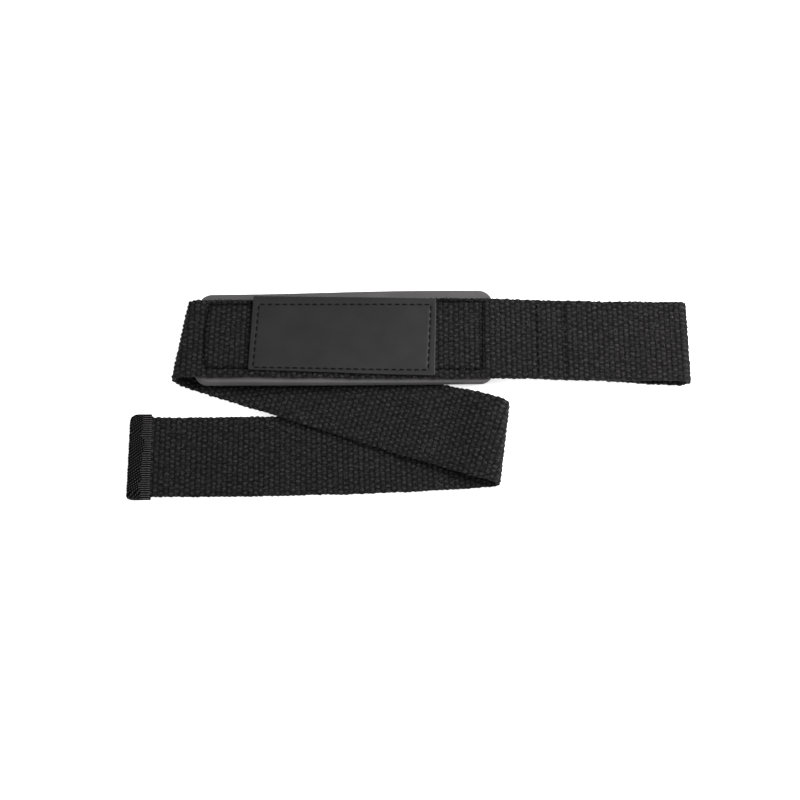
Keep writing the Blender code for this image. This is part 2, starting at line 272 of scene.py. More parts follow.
def middle(u, v):
    """Middle surface of the strap at pattern point (u, v)."""
    u, v = np.broadcast_arrays(np.asarray(u, float), np.asarray(v, float))
    v = v * width_share(u)
    points = np.zeros(u.shape + (3,))

    # Top run
    x = TOP_RUN - u
    put(points, u >= 0, x, v * np.cos(roll_at(x)), top_height(x, v))

    # Left fold: half a turn about a line that leans across the strap
    plan = np.stack([x, v], -1)
    s_left = plan @ LEFT_OUT
    q_left = plan @ LEFT_SIDE
    line = q_left[..., None] * LEFT_SIDE
    share = np.clip(s_left / LEFT_ARC, 0.0, 1.0)
    foot = left_foot(q_left, 0.0)
    radius = (top_height(line[..., 0], line[..., 1]) - foot) / 2
    rolled = line[..., 1] * (cos(LEFT_ROLL) * (1.0 - share) + share)
    bulge = radius + LEFT_BULGE * (0.5 + q_left / WEB_WIDTH)
    out = bulge * np.sin(pi * share)
    put(points, s_left > 0, line[..., 0] + out * LEFT_OUT[0], rolled + out * LEFT_OUT[1],
        foot + radius * (1.0 + np.cos(pi * share)))

    # Slanting run
    past_left = s_left - LEFT_ARC
    plan = line - past_left[..., None] * LEFT_OUT
    s_right = (plan - RIGHT_POINT) @ RIGHT_OUT
    q_right = (plan - RIGHT_POINT) @ RIGHT_SIDE
    height = diagonal_height(plan, past_left, q_left, np.minimum(s_right, 0.0), q_right)
    put(points, past_left > 0, plan[..., 0], plan[..., 1], height)

    # Right fold
    line = RIGHT_POINT + q_right[..., None] * RIGHT_SIDE
    share = np.clip(s_right / RIGHT_ARC, 0.0, 1.0)
    radius = (right_top(q_right) - RIGHT_LOW) / 2
    out = radius * np.sin(pi * share)
    turned = (past_left > 0) & (s_right > 0)
    put(points, turned, line[..., 0] + out * RIGHT_OUT[0], line[..., 1] + out * RIGHT_OUT[1],
        RIGHT_LOW + radius * (1.0 + np.cos(pi * share)))

    # Bottom run
    past_right = s_right - RIGHT_ARC
    bend = tan(BOTTOM_BEND) * np.clip(past_right / BOTTOM_BEND_LENGTH, 0.0, 1.0)
    plan = line + (bend * v - past_right)[..., None] * RIGHT_OUT
    bow = bottom_bow(np.maximum(past_right, 0.0))
    under = (past_left > 0) & (past_right > 0)
    put(points, under, plan[..., 0], plan[..., 1] + bow, bottom_height(past_right))

    # Tip of the hand loop, and the layer that is folded back under the top run
    share = np.clip(-u / LOOP_ARC, 0.0, 1.0)
    tip = top_height(TOP_RUN, v)
    put(points, u < 0, TOP_RUN + LOOP_RADIUS * np.sin(pi * share), v,
        tip - LOOP_RADIUS * (1.0 - np.cos(pi * share)))
    back = -u - LOOP_ARC
    x = TOP_RUN - back
    slot = CLEARANCE + (LOOP_SLOT - CLEARANCE) * (1.0 - ease("loop slot", back))
    aside = LOOP_SIDESTEP * smooth(back / (LOOP_LENGTH - LOOP_SEAM))
    put(points, back > 0, x, v + aside, top_height(x, v) - WEB_THICK - slot)

    # Small turns of the whole top run and of its tail
    on_top = u < U_LEFT
    beyond_pad = np.maximum(points[..., 0] - PAD_LENGTH, 0.0)
    turn = tan(TOP_TURN) * np.maximum(points[..., 0], 0.0)
    turn = turn + tan(TAIL_TURN) * beyond_pad * np.minimum(beyond_pad / TAIL_TURN_LENGTH, 1.0)
    points[..., 1] += np.where(on_top, turn, 0.0)
    return points


def lay(u, v, w=0.0):
    """Carry a pattern point into space; w is positive on the label's side."""
    u, v, w = np.broadcast_arrays(np.asarray(u, float), np.asarray(v, float), w)
    along = middle(u + SLOPE_STEP, v) - middle(u - SLOPE_STEP, v)
    across = middle(u, v + SLOPE_STEP) - middle(u, v - SLOPE_STEP)
    normal = np.cross(across, along)
    normal /= np.linalg.norm(normal, axis=-1, keepdims=True)
    return middle(u, v) + w[..., None] * normal


# Weave: one end is a yarn along the strap, one pick a yarn across it
PICK = 0.00241
ENDS_AROUND = 62
ROWS_PER_PICK = 6
COLUMNS_PER_END = 4
WEAVE_DEPTH = 0.00056
WEAVE_PROUD = 0.00005
KNUCKLE_LENGTH = 0.92
KNUCKLE_WIDTH = 1.16
UNDER_KNUCKLE = 0.38
YARN_FUZZ = 0.00013

# Cross-section of the webbing, with round selvedges
BASE_HALF = HALF_THICK + WEAVE_PROUD - WEAVE_DEPTH
EDGE_RADIUS = BASE_HALF
SELVEDGE_PROUD = 0.00012
FLAT_WIDTH = WEB_WIDTH - 2 * EDGE_RADIUS + 2 * SELVEDGE_PROUD
EDGE_POWER = 0.72
EDGE_ARC = pi * EDGE_RADIUS
AROUND = 2 * (FLAT_WIDTH + EDGE_ARC)
END = AROUND / ENDS_AROUND
SELVEDGE_LUMP = 0.00012
# How the selvedges stray: depth and length of a long wave, then of a short one
LONG_STRAY = (0.00022, 0.011)
SHORT_STRAY = (0.00010, 0.004)

# Where the webbing is parted into pieces, in picks from its hidden cut end
STRAP_PARTS = (
    ("strap_loop_back", 0, 24),
    ("strap_tail", 24, 82),
    ("strap_label_part", 82, 144),
    ("strap_slant", 144, 207),
    ("strap_bottom", 207, None),
)

# Seams through the webbing: name, then points (u, v) that the seam runs through
STITCH_PITCH = 0.0038
SEAMS = {
    "box_left": ((0.2201, 0.0168), (0.2213, 0.0020), (0.2209, -0.0071), (0.2200, -0.0157)),
    "box_near": ((0.2200, -0.0157), (0.1960, -0.0156)),
    "box_near_right": ((0.1200, -0.0153), (0.0928, -0.0153)),
    "box_right": ((0.0928, -0.0153), (0.0922, 0.0176)),
    "box_far": ((0.2201, 0.0168), (0.1960, 0.0171)),
    "box_far_right": ((0.1200, 0.0177), (0.0922, 0.0176)),
    "loop_inner": ((0.0667, -0.0172), (0.0667, 0.0176)),
    "loop_outer": ((0.0538, -0.0172), (0.0538, 0.0176)),
}
# How deep a seam bites, where that is less than the rest
SEAM_BITE = {"loop_inner": 0.35, "loop_outer": 0.55}
SEAM_REACH = 0.0013
SEAM_SINK = 0.00026
HOLE_REACH = 0.00075
HOLE_SINK = 0.00075
THREAD_RADIUS = 0.00028
THREAD_SIDES = 6

# Stray fibres of the cotton
FIBRES = 500
FIBRE_LENGTH = 0.0034
FIBRE_LIFT = 0.0004
FIBRE_RADIUS = 0.000028
FIBRE_SIDES = 4
LABEL_CLEAR = 0.003

# Stitches of the label, as insets from its four corners
LABEL_STITCH = {
    "loop_far": (0.0024, 0.0031),
    "loop_near": (0.0032, 0.0025),
    "fold_far": (0.0029, 0.0044),
    "fold_near": (0.0022, 0.0010),
}
LABEL_PITCH = 0.0035
LABEL_THREAD = 0.00036
LABEL_THREAD_SINK = 0.00040
LABEL_THREAD_RISE = 0.00034
CHANNEL_DEPTH = 0.00022
CHANNEL_REACH = 0.00055

# Rims of label and pad: how wide they are and how far they round off
LABEL_RIM = 0.0006
LABEL_RIM_ROUND = 0.32
LABEL_CELLS = (140, 60)
PAD_RIM = 0.0009
PAD_RIM_ROUND = 0.40
PAD_CELLS = (150, 48)
RIM_CROWDING = 0.94

# Ribs of the binding tape
RIB_PITCH = 0.00105
RIB_HEIGHT = 0.00055
RIB_BAND = 0.0036
CRINKLE_PITCH = 0.00145
TAPE_FAR_CORNER = 0.0030
TAPE_NEAR_CORNER = 0.0017
TAPE_PUFF = 0.00025

# Camera: angle down from level, distance, the point it looks at, and its lens
CAMERA_ANGLE = radians(75.0)
CAMERA_DISTANCE = 0.520
CAMERA_LOOK = (0.095756, -0.029195, 0.010)
LENS = 51.0
SENSOR = 36.0

# Light: the surround, the white floor's own glow, and the lamps
WORLD_LIGHT = 0.43
FLOOR_GLOW = 0.70
# Columns: name, place, size, power
LIGHTS = (
    ("key", (0.40, 0.10, 0.40), 0.30, 6.0),
    ("front", (0.10, -0.50, 0.30), 0.35, 1.5),
    ("fill", (-0.30, 0.10, 0.80), 0.60, 1.2),
)


def arrange():
    """Shift that carries the strap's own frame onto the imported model's."""
    u = np.linspace(U_START, U_END, 1200)[:, None]
    v = np.linspace(-HALF_WIDTH, HALF_WIDTH, 9)[None, :]
    faces = np.concatenate([lay(u, v, HALF_THICK), lay(u, v, -HALF_THICK)]).reshape(-1, 3)
    low, high = faces.min(0), faces.max(0)
    cad_low, cad_high = (np.array(corner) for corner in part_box("webbing"))
    shift = (cad_low + cad_high - low - high) / 2
    shift[2] = cad_low[2] - low[2]
    return shift


SHIFT = arrange()


def place(u, v, w=0.0):
    """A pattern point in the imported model's space."""
    return lay(u, v, w) + SHIFT


def lattice(shape, seed):
    """Table of random numbers from -1 to 1."""
    return np.random.default_rng(seed).uniform(-1.0, 1.0, shape)


def wobble(values, period, seed):
    """Smooth random curve from -1 to 1 along values, with waves about a period long."""
    knots = lattice(4096, seed)
    place_at = np.asarray(values) / period + 100.0
    left = np.floor(place_at).astype(int)
    share = smooth(place_at - left)
    return knots[left % 4096] * (1.0 - share) + knots[(left + 1) % 4096] * share


def seam_points(route, pitch):
    """Ends of the stitches along a route of pattern points, evenly spaced."""
    route = np.array(route)
    lengths = np.linalg.norm(np.diff(route, axis=0), axis=1)
    total = lengths.sum()
    count = max(1, round(total / pitch))
    at = np.linspace(0.0, total, count + 1)
    travelled = np.concatenate([[0.0], np.cumsum(lengths)])
    return np.stack([np.interp(at, travelled, route[:, k]) for k in (0, 1)], -1)


def seam_dent(u, v):
    """How far the seams pull the webbing down at (u, v), deepest at the needle holes."""
    dent = np.zeros(np.broadcast(u, v).shape)
    for name, route in SEAMS.items():
        bite = SEAM_BITE.get(name, 1.0)
        points = seam_points(route, STITCH_PITCH)
        for start, end in zip(points[:-1], points[1:]):
            step = end - start
            near = (np.abs(u - (start[0] + end[0]) / 2) < 0.004) & (
                np.abs(v - (start[1] + end[1]) / 2) < 0.004)
            if not near.any():
                continue
            rel_u, rel_v = (u - start[0])[near], (v - start[1])[near]
            share = np.clip((rel_u * step[0] + rel_v * step[1]) / (step @ step), 0.0, 1.0)
            off = np.hypot(rel_u - share * step[0], rel_v - share * step[1])
            groove = bite * SEAM_SINK * np.maximum(0.0, 1.0 - (off / SEAM_REACH) ** 2)
            dent[near] = np.maximum(dent[near], groove)
        for hole in points:
            off = np.hypot(u - hole[0], v - hole[1])
            bowl = bite * (SEAM_SINK + HOLE_SINK) * np.maximum(0.0, 1.0 - (off / HOLE_REACH) ** 2)
            dent = np.maximum(dent, bowl)
    return dent


def weave_height(u, p):
    """Relief of the plain weave at u along the strap and p around its section."""
    picks = int(np.ceil((U_END - U_START) / PICK)) + 2
    size = 0.90 + 0.26 * lattice((picks, ENDS_AROUND), 11)
    slide_u = 0.34 * lattice((picks, ENDS_AROUND), 12)
    slide_p = 0.26 * lattice((picks, ENDS_AROUND), 13)
    along = (u - U_START) / PICK
    pick = np.clip(np.floor(along + 1e-6).astype(int), 0, picks - 1)
    in_pick = along - pick - 0.5
    best = np.zeros(np.broadcast(u, p).shape)
    around = p / END
    nearest = np.floor(around).astype(int)
    for step in (-1, 0, 1):
        end = nearest + step
        wrapped = end % ENDS_AROUND
        over = (wrapped + pick) % 2 == 0
        du = (in_pick + slide_u[pick, wrapped] * (0.5 - np.abs(in_pick))) / (KNUCKLE_LENGTH / 2)
        dp = (around - end - 0.5 + slide_p[pick, wrapped]) / (KNUCKLE_WIDTH / 2)
        oval = np.maximum(0.0, 1.0 - np.abs(dp) ** 2.1 - np.abs(du) ** 2.8)
        rise = size[pick, wrapped] * oval ** 0.55
        best = np.maximum(best, np.where(over, rise, UNDER_KNUCKLE * rise))
    return best


def section(p):
    """Base point (v, w) and outward direction of the webbing's section at p."""
    p = np.mod(p, AROUND)
    first = p < FLAT_WIDTH
    second = (p >= FLAT_WIDTH) & (p < FLAT_WIDTH + EDGE_ARC)
    third = (p >= FLAT_WIDTH + EDGE_ARC) & (p < 2 * FLAT_WIDTH + EDGE_ARC)
    right = (p - FLAT_WIDTH) / EDGE_RADIUS
    left = (p - 2 * FLAT_WIDTH - EDGE_ARC) / EDGE_RADIUS
    angle = np.select([first, second, third], [0.0 * p, right, pi + 0.0 * p], pi + left)
    centre = np.select(
        [first, second, third],
        [p - FLAT_WIDTH / 2, FLAT_WIDTH / 2 + 0.0 * p, 1.5 * FLAT_WIDTH + EDGE_ARC - p],
        -FLAT_WIDTH / 2 + 0.0 * p)
    normal_v, normal_w = np.sin(angle), np.cos(angle)
    out_v = np.sign(normal_v) * np.abs(normal_v) ** EDGE_POWER
    out_w = np.sign(normal_w) * np.abs(normal_w) ** EDGE_POWER
    return centre + EDGE_RADIUS * out_v, EDGE_RADIUS * out_w, normal_v, normal_w


def grid_mesh(name, points, faces, uv=None, rise=None):
    """Smooth mesh from points and quads, facing out; rise is kept for its material's painted shade and
    highlights.
    """
    a, b, c, d = (points[faces[:, k]] for k in range(4))
    volume = np.einsum("ij,ij->", a, np.cross(b, c) + np.cross(c, d)) / 6
    if volume < 0:
        faces = faces[:, ::-1]
    mesh = bpy.data.meshes.new(name)
    count = len(faces)
    sides = faces.shape[1]
    mesh.vertices.add(len(points))
    mesh.vertices.foreach_set("co", points.astype(np.float32).ravel())
    mesh.loops.add(count * sides)
    mesh.loops.foreach_set("vertex_index", faces.astype(np.int32).ravel())
    mesh.polygons.add(count)
    mesh.polygons.foreach_set("loop_start", np.arange(0, count * sides, sides, dtype=np.int32))
    mesh.polygons.foreach_set("use_smooth", np.ones(count, bool))
    if uv is not None:
        layer = mesh.uv_layers.new(name="pattern")
        layer.data.foreach_set("uv", uv[faces.ravel()].astype(np.float32).ravel())
    if rise is not None:
        layer = mesh.attributes.new("rise", "FLOAT", "POINT")
        layer.data.foreach_set("value", np.asarray(rise, np.float32).ravel())
    mesh.update(calc_edges=True)
    piece = bpy.data.objects.new(name, mesh)
    bpy.context.scene.collection.objects.link(piece)
    return piece


def tube_faces(rows, columns):
    """Quads of a closed tube: rows along it, columns round it."""
    i, j = np.meshgrid(np.arange(rows - 1), np.arange(columns), indexing="ij")
    k = (j + 1) % columns
    quads = np.stack([i * columns + j, (i + 1) * columns + j, (i + 1) * columns + k, i * columns + k], -1)
    return quads.reshape(-1, 4)


def patch_faces(rows, columns, flip=False):
    """Quads of an open grid."""
    i, j = np.meshgrid(np.arange(rows - 1), np.arange(columns - 1), indexing="ij")
    quads = np.stack([i * columns + j, (i + 1) * columns + j,
                      (i + 1) * columns + j + 1, i * columns + j + 1], -1).reshape(-1, 4)
    return quads[:, ::-1] if flip else quads


def closed_faces(rows, columns):
    """Quads of two grids that face each other, closed round their rim."""
    count = rows * columns
    index = np.arange(count).reshape(rows, columns)
    faces = [patch_faces(rows, columns, flip=False), patch_faces(rows, columns, flip=True) + count]
    loop = np.concatenate([index[0, :-1], index[:-1, -1], index[-1, :0:-1], index[:0:-1, 0]])
    ahead = np.roll(loop, -1)
    faces.append(np.stack([loop, ahead, ahead + count, loop + count], -1))
    return np.concatenate(faces)


def build_strap():
    """The woven strap in five lengths that meet, each a closed piece."""
    columns = ENDS_AROUND * COLUMNS_PER_END
    last_pick = int(np.floor((U_END - U_START) / PICK))
    made = []
    for name, first, last in STRAP_PARTS:
        last = last_pick if last is None else last
        rows = (last - first) * ROWS_PER_PICK + 1
        u = (U_START + np.linspace(first, last, rows) * PICK)[:, None]
        p = (np.arange(columns) * END / COLUMNS_PER_END)[None, :]
        sway = LONG_STRAY[0] * wobble(u, LONG_STRAY[1], 21) + SHORT_STRAY[0] * wobble(u, SHORT_STRAY[1], 22)
        base_v, base_w, normal_v, normal_w = section(p)
        shift_p = 0.25 * END * wobble(u, 0.019, 23)
        fuzz = lattice((last_pick * ROWS_PER_PICK + 1, columns), 25)
        fuzz = fuzz[first * ROWS_PER_PICK:last * ROWS_PER_PICK + 1]
        rise = weave_height(u, np.mod(p + shift_p, AROUND))
        edge = np.abs(normal_v)
        lump = SELVEDGE_LUMP * edge * np.sin(2 * pi * (u - U_START) / PICK)
        lump = lump * (1.0 + 0.8 * wobble(u, 0.006, 24))
        height = WEAVE_DEPTH * rise * (1.0 - 0.25 * edge) + lump + YARN_FUZZ * fuzz
        # On the side away from the label, no yarn stands proud of the webbing's thickness
        height = np.where(normal_w < 0, np.minimum(height, WEAVE_DEPTH - WEAVE_PROUD), height)
        v = base_v + normal_v * height + sway * np.sign(base_v) * edge
        w = base_w + normal_w * height
        dent = np.where(normal_w > 0.5, seam_dent(u + 0.0 * v, v), 0.0)
        w = w - dent
        # Painted shade: the colour darkens where the seams sink the webbing, deepest in the needle holes, and
        # otherwise follows the weave's relief
        open_share = 1.0 - np.minimum(dent / (SEAM_SINK + 0.7 * HOLE_SINK), 1.0)
        painted_shading_rise = (0.15 + 0.85 * rise + 0.30 * fuzz) * open_share
        points = place(u + 0.0 * v, v, w).reshape(-1, 3)
        # Where the strap lies on the floor, its yarns are pressed flat
        points[:, 2] = np.maximum(points[:, 2], 0.0)
        faces = tube_faces(rows, columns)
        # Caps: a strip of quads between the upper and the lower half of each end
        half = columns // 2
        top = np.arange(half - 1)
        under = columns - 1 - top
        cap = np.stack([top, top + 1, under - 1, under], -1)
        end = (rows - 1) * columns
        faces = np.concatenate([faces, cap, cap[:, ::-1] + end])
        uv = np.stack([((u + 0.0 * v) / PICK).ravel(), ((p + 0.0 * u) / END).ravel()], -1)
        piece = grid_mesh(name, points, faces, uv, painted_shading_rise)
        made.append((piece, (last - first) * PICK))
    return made


def tube(path, radius, sides):
    """Points and quads of a thread along a path of points in space, with closed ends."""
    path = np.asarray(path)
    tangent = np.gradient(path, axis=0)
    tangent /= np.linalg.norm(tangent, axis=1, keepdims=True)
    side = np.cross(tangent, np.array([0.0, 0.0, 1.0]))
    side /= np.maximum(np.linalg.norm(side, axis=1, keepdims=True), 1e-9)
    up = np.cross(side, tangent)
    angle = np.arange(sides) * 2 * pi / sides
    ring = side[:, None, :] * np.cos(angle)[None, :, None] + up[:, None, :] * np.sin(angle)[None, :, None]
    points = path[:, None, :] + np.asarray(radius).reshape(-1, 1, 1) * ring
    return points.reshape(-1, 3), tube_faces(len(path), sides)


def stitch_row(name, stitches, radius, spot):
    """Joined mesh of separate stitches; spot(a, b, w) carries their points into space."""
    points, faces, count = [], [], 0
    shares = np.linspace(0.0, 1.0, 9)
    for index, (start, end) in enumerate(stitches):
        a = start[0] + (end[0] - start[0]) * (0.14 + 0.72 * shares)
        b = start[1] + (end[1] - start[1]) * (0.14 + 0.72 * shares)
        arch = np.sin(pi * shares) ** 0.6
        path = spot(a, b, arch)
        thick = radius * (0.55 + 0.45 * np.sin(pi * shares) ** 0.5)
        new, quads = tube(path, thick, THREAD_SIDES)
        caps = np.array([[0, 1, 2, 3], [0, 3, 4, 5]])
        last = (len(shares) - 1) * THREAD_SIDES
        quads = np.concatenate([quads, caps, caps[:, ::-1] + last])
        points.append(new)
        faces.append(quads + count)
        count += len(new)
    return grid_mesh(name, np.concatenate(points), np.concatenate(faces))


def build_seams():
    """The stitches that hold pad, strap and loop together."""
    made = []
    for name, route in SEAMS.items():
        ends = seam_points(route, STITCH_PITCH)
        deep = HALF_THICK + WEAVE_PROUD - SEAM_SINK - HOLE_SINK

        def spot(u, v, arch):
            return place(u, v, deep + (HOLE_SINK + 0.9 * THREAD_RADIUS) * arch)

        made.append(stitch_row("seam_" + name, zip(ends[:-1], ends[1:]), THREAD_RADIUS, spot))
    return made


def build_fuzz():
    """Stray cotton fibres that stand off both faces of the webbing."""
    random = np.random.default_rng(61)
    points, faces, count = [], [], 0
    shares = np.linspace(0.0, 1.0, 6)
    for _ in range(FIBRES):
        u, v = random.uniform(0.0, U_END - TAPE_LENGTH - 0.002), random.uniform(-0.5, 0.5) * FLAT_WIDTH
        turn, length = random.uniform(0.0, 2 * pi), random.uniform(0.4, 1.0) * FIBRE_LENGTH
        curl = random.uniform(-2.5, 2.5)
        bend = turn + curl * shares
        step_u = u + length * shares * np.cos(bend)
        step_v = v + length * shares * np.sin(bend)
        lift = HALF_THICK - 0.0001 + random.uniform(0.1, 1.0) * FIBRE_LIFT * np.sin(pi * shares)
        side = random.choice((-1.0, 1.0), p=(0.35, 0.65))
        if abs(u - LABEL_START - LABEL_LENGTH / 2) < LABEL_LENGTH / 2 + LABEL_CLEAR:
            continue
        path = place(step_u, np.clip(step_v, -HALF_WIDTH, HALF_WIDTH), side * lift)
        path[:, 2] = np.maximum(path[:, 2], 2 * FIBRE_RADIUS)
        new, quads = tube(path, FIBRE_RADIUS, FIBRE_SIDES)
        last = (len(shares) - 1) * FIBRE_SIDES
        ends = np.array([[0, 1, 2, 3], [last + 3, last + 2, last + 1, last]])
        points.append(new)
        faces.append(np.concatenate([quads, ends]) + count)
        count += len(new)
    return grid_mesh("cotton_fuzz", np.concatenate(points), np.concatenate(faces))


def label_point(a, b, w):
    """A point of the label, a along it from its middle and b across it, in space."""
    u = LABEL_START + LABEL_LENGTH / 2 + a * cos(LABEL_TURN) - b * sin(LABEL_TURN)
    v = LABEL_OFFSET + a * sin(LABEL_TURN) + b * cos(LABEL_TURN)
    return place(u, v, w)


def label_seam():
    """Corners of the label's stitching, from its insets: loop side first."""
    half_a, half_b = LABEL_LENGTH / 2, LABEL_WIDTH / 2
    signs = {"loop_far": (-1, 1), "loop_near": (-1, -1), "fold_near": (1, -1), "fold_far": (1, 1)}
    corners = []
    for name, (side_a, side_b) in signs.items():
        inset_a, inset_b = LABEL_STITCH[name]
        corners.append((side_a * (half_a - inset_a), side_b * (half_b - inset_b)))
    return corners


def distance_to_route(a, b, route):
    """Distance in the plane from points to a route."""
    best = np.full(np.broadcast(a, b).shape, 1.0)
    for start, end in zip(route[:-1], route[1:]):
        step = np.array(end) - np.array(start)
        share = np.clip(((a - start[0]) * step[0] + (b - start[1]) * step[1]) / (step @ step), 0.0, 1.0)
        best = np.minimum(best, np.hypot(a - start[0] - share * step[0], b - start[1] - share * step[1]))
    return best


def slab(name, half_a, half_b, corner, rim, hold, cells, top, bottom, carry):
    """Rounded slab: a grid on both faces, closed round the rim.

    top(a, b) and bottom(a, b) are its faces' heights, and carry(a, b, w) lays it in space.
    """
    rows, columns = cells

    def spread(count, half):
        """Steps across the slab, closer together by its rim."""
        share = np.linspace(-1.0, 1.0, count)
        return half * np.sin(share * pi / 2 * RIM_CROWDING) / sin(pi / 2 * RIM_CROWDING)

    a = spread(rows, half_a)[:, None] + np.zeros((1, columns))
    past = np.maximum(np.abs(a) - (half_a - corner), 0.0)
    reach = half_b - corner + np.sqrt(np.maximum(corner ** 2 - past ** 2, 0.0))
    b = spread(columns, 1.0)[None, :] * reach
    inset = np.minimum(half_a - np.abs(a), reach - np.abs(b))
    edge = np.clip(inset / rim, 0.0, 1.0)
    round_off = 1.0 - np.sqrt(np.maximum(0.0, 1.0 - (1.0 - edge) ** 2))
    upper, lower = top(a, b), bottom(a, b)
    middle_w = (upper + lower) / 2
    upper = upper + (middle_w - upper) * hold * round_off
    lower = lower + (middle_w - lower) * hold * round_off
    above = carry(a, b, upper).reshape(-1, 3)
    below = carry(a, b, lower).reshape(-1, 3)
    points = np.concatenate([above, below])
    uv = np.stack([np.tile(a.ravel(), 2), np.tile(b.ravel(), 2)], -1) * 1000.0
    return grid_mesh(name, points, closed_faces(rows, columns), uv)


def build_label():
    """Bare satin label with a raised lip outside its stitches."""
    corners = label_seam()
    route = corners + corners[:1]
    face = HALF_THICK + CLEARANCE + LABEL_THICK

    def top(a, b):
        off = distance_to_route(a, b, route)
        channel = np.exp(-(off / CHANNEL_REACH) ** 2)
        dimple = 0.5 + 0.5 * np.cos(2 * pi * (a + b) / LABEL_PITCH)
        sag = 0.00004 * wobble(a + 0.02, 0.012, 31) * wobble(b + 0.03, 0.010, 32)
        return face - CHANNEL_DEPTH * channel * (0.6 + 0.4 * dimple) + sag

    def bottom(a, b):
        return HALF_THICK + CLEARANCE + 0.0 * a

    slab_piece = slab("label_sheet", LABEL_LENGTH / 2, LABEL_WIDTH / 2, LABEL_CORNER,
                      LABEL_RIM, LABEL_RIM_ROUND, LABEL_CELLS, top, bottom, label_point)
    stitches = []
    for start, end in zip(route[:-1], route[1:]):
        ends = seam_points((start, end), LABEL_PITCH)
        stitches += list(zip(ends[:-1], ends[1:]))

    def spot(a, b, arch):
        return label_point(a, b, face - LABEL_THREAD_SINK + LABEL_THREAD_RISE * arch)

    thread = stitch_row("label_stitches", stitches, LABEL_THREAD, spot)
    return slab_piece, thread


def build_pad():
    """Foam pad with soft edges under the top run."""
    middle_u = TOP_RUN - PAD_INSET - PAD_LENGTH / 2
    face = -HALF_THICK - CLEARANCE

    def carry(a, b, w):
        u = middle_u + a * cos(PAD_TURN) - b * sin(PAD_TURN)
        v = PAD_OFFSET + a * sin(PAD_TURN) + b * cos(PAD_TURN)
        return place(u, v, w)

    def dimple(a, b):
        return 0.00005 * wobble(a + 0.1, 0.0023, 41) * wobble(b + 0.1, 0.0021, 42)

    def top(a, b):
        return face + dimple(a, b)

    def bottom(a, b):
        return face - PAD_THICK + dimple(b, a)

    return slab("foam_pad", PAD_LENGTH / 2, PAD_WIDTH / 2, PAD_CORNER,
                PAD_RIM, PAD_RIM_ROUND, PAD_CELLS, top, bottom, carry)


def build_tape():
    """Ribbed binding tape wrapped over the bound end, crinkled at its nose."""
    inner = HALF_THICK + CLEARANCE
    end = U_END + CLEARANCE
    start = end - TAPE_LENGTH
    nose = inner / 2
    flat_u = np.linspace(start, end - nose, 34)
    turn = np.linspace(0.0, pi, 7)[1:-1]
    path_u = np.concatenate([flat_u, end - nose + nose * np.sin(turn), flat_u[::-1]])
    path_w = np.concatenate([inner + 0 * flat_u, inner * np.cos(turn), -inner + 0 * flat_u])
    out_u = np.concatenate([0 * flat_u, np.sin(turn), 0 * flat_u])
    out_w = np.concatenate([1 + 0 * flat_u, np.cos(turn), -1 + 0 * flat_u])
    reach = HALF_WIDTH + TAPE_OVERHANG / width_share(U_END)
    v = np.linspace(-reach, reach, 300)[None, :]
    u, w, out_u, out_w = (row[:, None] for row in (path_u, path_w, out_u, out_w))
    # Rounded corners at the nose, the far one wider
    corner = np.where(v > 0, TAPE_FAR_CORNER, TAPE_NEAR_CORNER)
    past = np.maximum(np.abs(v) - (reach - corner), 0.0)
    pull = corner - np.sqrt(np.maximum(corner ** 2 - past ** 2, 0.0))
    share = (u - start) / TAPE_LENGTH
    from_edge = (u - start) + 0.0 * v
    u = u - pull * share + v * tan(TAPE_SKEW) * (1.0 - share)
    ribs = v + 0.00012 * wobble(v, 0.004, 51)
    rib = np.abs(np.sin(pi * ribs / RIB_PITCH)) ** 1.3 + 0.0 * u
    slant = ribs + 0.75 * from_edge + 0.0006 * wobble(v + 0.2 * from_edge, 0.003, 52)
    cross = 1.5 * from_edge - 0.25 * v + 0.0006 * wobble(from_edge + 0.3 * v, 0.002, 54)
    dots = np.abs(np.sin(pi * cross / CRINKLE_PITCH))
    crinkle = np.abs(np.sin(pi * slant / CRINKLE_PITCH)) * (0.25 + 0.75 * dots)
    blend = smooth((from_edge - RIB_BAND + 0.0009 * wobble(v, 0.0035, 53)) / 0.0007)
    relief = rib * (1.0 - blend) + crinkle * blend
    rim = np.clip(from_edge / 0.0005, 0.0, 1.0) ** 0.5
    high = RIB_HEIGHT * (1.0 - 0.45 * blend)
    thick = (TAPE_THICK - high) * (0.5 + 0.5 * rim) + high * relief * rim
    puff = TAPE_PUFF * blend * (w > 0)
    outer = place(u + out_u * thick, v + 0.0 * u, w + out_w * (thick + puff))
    inside = place(u, v + 0.0 * u, w + 0.0 * v)
    rows, columns = outer.shape[:2]
    points = np.concatenate([outer.reshape(-1, 3), inside.reshape(-1, 3)])
    # The relief is also kept for the tape material's painted highlights and shade
    return grid_mesh("binding_cloth", points, closed_faces(rows, columns), None,
                     np.tile(relief.ravel(), 2))


def nodes_of(name, colour, roughness, **inputs):
    """New Principled material; returns it, its node tree and its shader."""
    made = bpy.data.materials.new(name)
    made.use_nodes = True
    tree = made.node_tree
    shader = tree.nodes["Principled BSDF"]
    shader.inputs["Base Color"].default_value = (*colour, 1.0)
    shader.inputs["Roughness"].default_value = roughness
    for key, value in inputs.items():
        shader.inputs[key.replace("_", " ")].default_value = value
    return made, tree, shader


def noise(tree, scale, detail, coordinates, roughness=0.55):
    """Noise over coordinates."""
    node = tree.nodes.new("ShaderNodeTexNoise")
    node.inputs["Scale"].default_value = scale
    node.inputs["Detail"].default_value = detail
    node.inputs["Roughness"].default_value = roughness
    tree.links.new(coordinates, node.inputs["Vector"])
    return node.outputs["Fac"]


def ramp(tree, value, stops):
    """Colour ramp with stops of (position, colour)."""
    node = tree.nodes.new("ShaderNodeValToRGB")
    elements = node.color_ramp.elements
    while len(elements) < len(stops):
        elements.new(0.5)
    for element, (position, colour) in zip(elements, stops):
        element.position = position
        element.color = (*colour, 1.0)
    tree.links.new(value, node.inputs["Fac"])
    return node.outputs["Color"]


def grey(value, warmth=0.03):
    """A near-black grey, very slightly warm."""
    return (value * (1 + warmth), value * (1 - warmth / 2), value)


